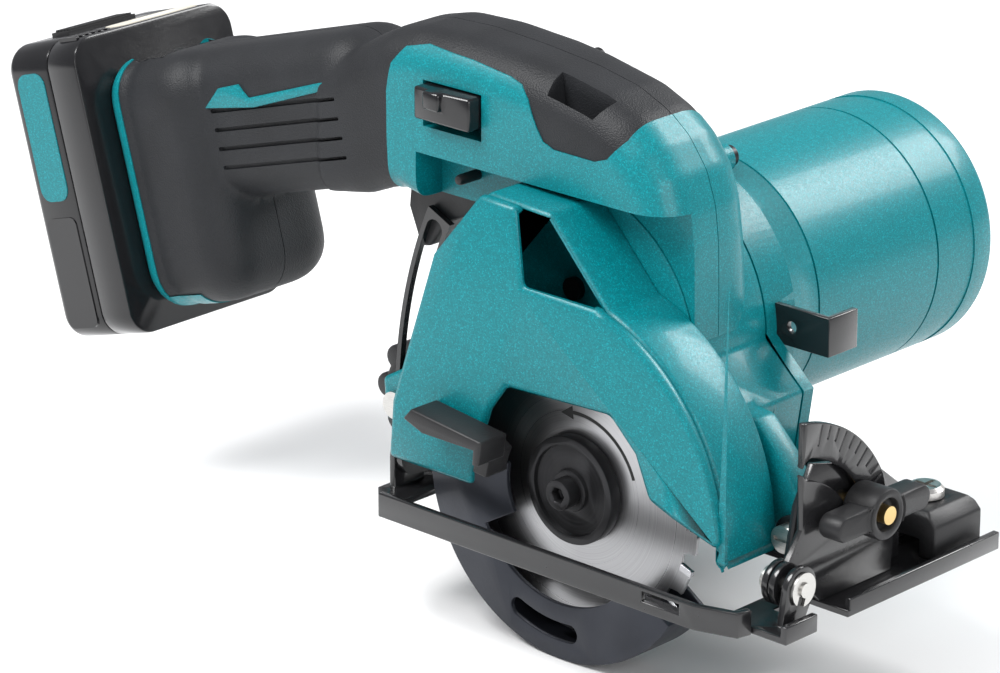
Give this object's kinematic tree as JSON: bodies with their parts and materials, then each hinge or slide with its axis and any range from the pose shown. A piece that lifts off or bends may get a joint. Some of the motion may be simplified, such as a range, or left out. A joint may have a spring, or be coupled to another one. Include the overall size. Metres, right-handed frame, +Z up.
{
  "type": "circular saw",
  "caption": "Compact battery circular saw with a rear grip, a sprung lower guard, a hinged base plate with depth and bevel clamps, and a side motor.",
  "frame": {"origin": "on the sole plane, in the blade's mid-plane, straight below the blade's axis, at full cutting depth", "axes": "+X is the feed direction, towards the front of the base, +Y points from the blade to the motor, +Z is up from the sole"},
  "size_m": [0.3037, 0.1704, 0.1628],
  "materials": {
    "teal": "glossy plastic with a fine metallic flake",
    "rubber": "soft charcoal rubber with a fine pebble grain",
    "black_plastic": "matt black plastic",
    "gloss_black": "glossy black plastic",
    "black_steel": "gloss black paint on pressed steel",
    "teal_paint": "satin metallic paint on cast magnesium",
    "guard_steel": "satin dark blue-grey coating on steel",
    "blade_steel": "radially ground steel",
    "carbide": "ground carbide",
    "dark_steel": "black oxide steel",
    "bright_steel": "zinc plated steel",
    "brass": "plain brass",
    "copper": "enamelled copper wire",
    "magnet": "sintered ferrite",
    "carbon": "pressed carbon",
    "cell_can": "wrapped cell can"
  },
  "bodies": {
    "saw": {"blade_case": "teal_paint", "case_cover": "teal_paint", "case_screws": "dark_steel", "gear_housing": "teal", "gear_housing_cover": "teal", "spindle_front_bearing": "bright_steel", "spindle_rear_bearing": "bright_steel", "layshaft_bushes": "brass", "motor_housing": "teal", "motor_housing_screws": "dark_steel", "motor_can": "bright_steel", "motor_magnets": "magnet", "brush_plate": "black_plastic", "brush_holders": "brass", "carbon_brushes": "carbon", "rotor_bearings": "bright_steel", "left_shell": "teal", "right_shell": "teal", "left_grip": "rubber", "right_grip": "rubber", "handle_screws": "dark_steel", "switch_unit": "black_plastic", "hook": "black_steel", "guard_spring": "bright_steel", "depth_bolt": "bright_steel", "depth_pivot_bolt": "bright_steel"},
    "arbor": {"saw_blade": "blade_steel", "blade_tips": "carbide", "outer_flange": "dark_steel", "inner_flange": "bright_steel", "blade_bolt": "dark_steel", "spindle": "bright_steel", "spindle_gear": "bright_steel"},
    "layshaft": {"layshaft": "bright_steel", "layshaft_gear": "bright_steel"},
    "rotor": {"rotor_shaft": "bright_steel", "rotor_core": "bright_steel", "rotor_windings": "copper", "commutator": "copper", "cooling_fan": "black_plastic", "motor_pinion": "bright_steel"},
    "guard": {"lower_guard": "guard_steel", "guard_lever": "black_plastic"},
    "trigger": {"trigger": "black_plastic"},
    "lock_off": {"lock_off_button": "gloss_black"},
    "battery": {"battery_front_case": "gloss_black", "battery_rear_case": "gloss_black", "battery_cells": "cell_can"},
    "battery_release": {"battery_button": "black_plastic"},
    "hinge_frame": {"front_bracket": "black_steel", "depth_guide": "black_steel", "bevel_bolt": "bright_steel"},
    "base": {"base": "black_steel", "quadrant": "black_steel", "bevel_pins": "bright_steel", "retaining_clips": "bright_steel", "fence_clamp": "black_plastic"},
    "wing_nut": {"wing_nut": "black_plastic"},
    "depth_knob": {"depth_knob": "black_plastic"},
    "fence_screw": {"fence_screw": "bright_steel"}
  },
  "joints": [
    {"name": "blade_spin", "type": "hinge", "parent": "saw", "child": "arbor", "pos_m": [0, 0, 0.017], "axis": [0, 1, 0], "continuous": true},
    {"name": "layshaft_spin", "type": "hinge", "parent": "saw", "child": "layshaft", "pos_m": [0.00107, 0.025, 0.03397], "axis": [0, 1, 0], "continuous": true},
    {"name": "motor_spin", "type": "hinge", "parent": "saw", "child": "rotor", "pos_m": [-0.01022, 0.08, 0.0565], "axis": [0, 1, 0], "continuous": true},
    {"name": "guard_swing", "type": "hinge", "parent": "saw", "child": "guard", "pos_m": [0, 0, 0.017], "axis": [0, 1, 0], "range_deg": [0, 115], "stiffness_Nm_per_rad": 0.05, "springref_deg": -34.38, "deforming": ["guard_spring"]},
    {"name": "trigger_pull", "type": "hinge", "parent": "saw", "child": "trigger", "pos_m": [-0.0475, 0.02, 0.092], "axis": [0, 1, 0], "range_deg": [0, 9], "stiffness_Nm_per_rad": 1.2, "springref_deg": -8.59},
    {"name": "lock_off_press", "type": "slide", "parent": "saw", "child": "lock_off", "axis": [0, 0, -1], "range_m": [0, 0.0024], "stiffness_N_per_m": 900, "springref_m": -0.0015},
    {"name": "battery_slide", "type": "slide", "parent": "saw", "child": "battery", "axis": [-0.2756, 0, 0.9613], "range_m": [0, 0.06]},
    {"name": "battery_release_press", "type": "slide", "parent": "battery", "child": "battery_release", "axis": [0.2756, 0, -0.9613], "range_m": [0, 0.0015], "stiffness_N_per_m": 900, "springref_m": -0.001},
    {"name": "depth_hinge", "type": "hinge", "parent": "saw", "child": "hinge_frame", "pos_m": [0.0645, 0.017, 0.0175], "axis": [0, -1, 0], "range_deg": [0, 22]},
    {"name": "bevel_hinge", "type": "hinge", "parent": "hinge_frame", "child": "base", "pos_m": [0, -0.002, 0.0107], "axis": [-1, 0, 0], "range_deg": [0, 45]},
    {"name": "wing_nut_turn", "type": "hinge", "parent": "hinge_frame", "child": "wing_nut", "pos_m": [0.08, 0.02493, 0.02502], "axis": [1, 0, 0], "range_deg": [-90, 90]},
    {"name": "depth_knob_turn", "type": "hinge", "parent": "saw", "child": "depth_knob", "pos_m": [-0.0755, 0.018, 0.0192], "axis": [0, 1, 0], "range_deg": [-180, 180]},
    {"name": "fence_screw_turn", "type": "hinge", "parent": "base", "child": "fence_screw", "pos_m": [0.0685, 0.062, 0.012], "axis": [0, 0, 1], "range_deg": [-180, 180]}
  ],
  "couplings": [
    {"joint": "layshaft_spin", "follows": "blade_spin", "ratio": -2.0909},
    {"joint": "motor_spin", "follows": "blade_spin", "ratio": 12.545}
  ]
}
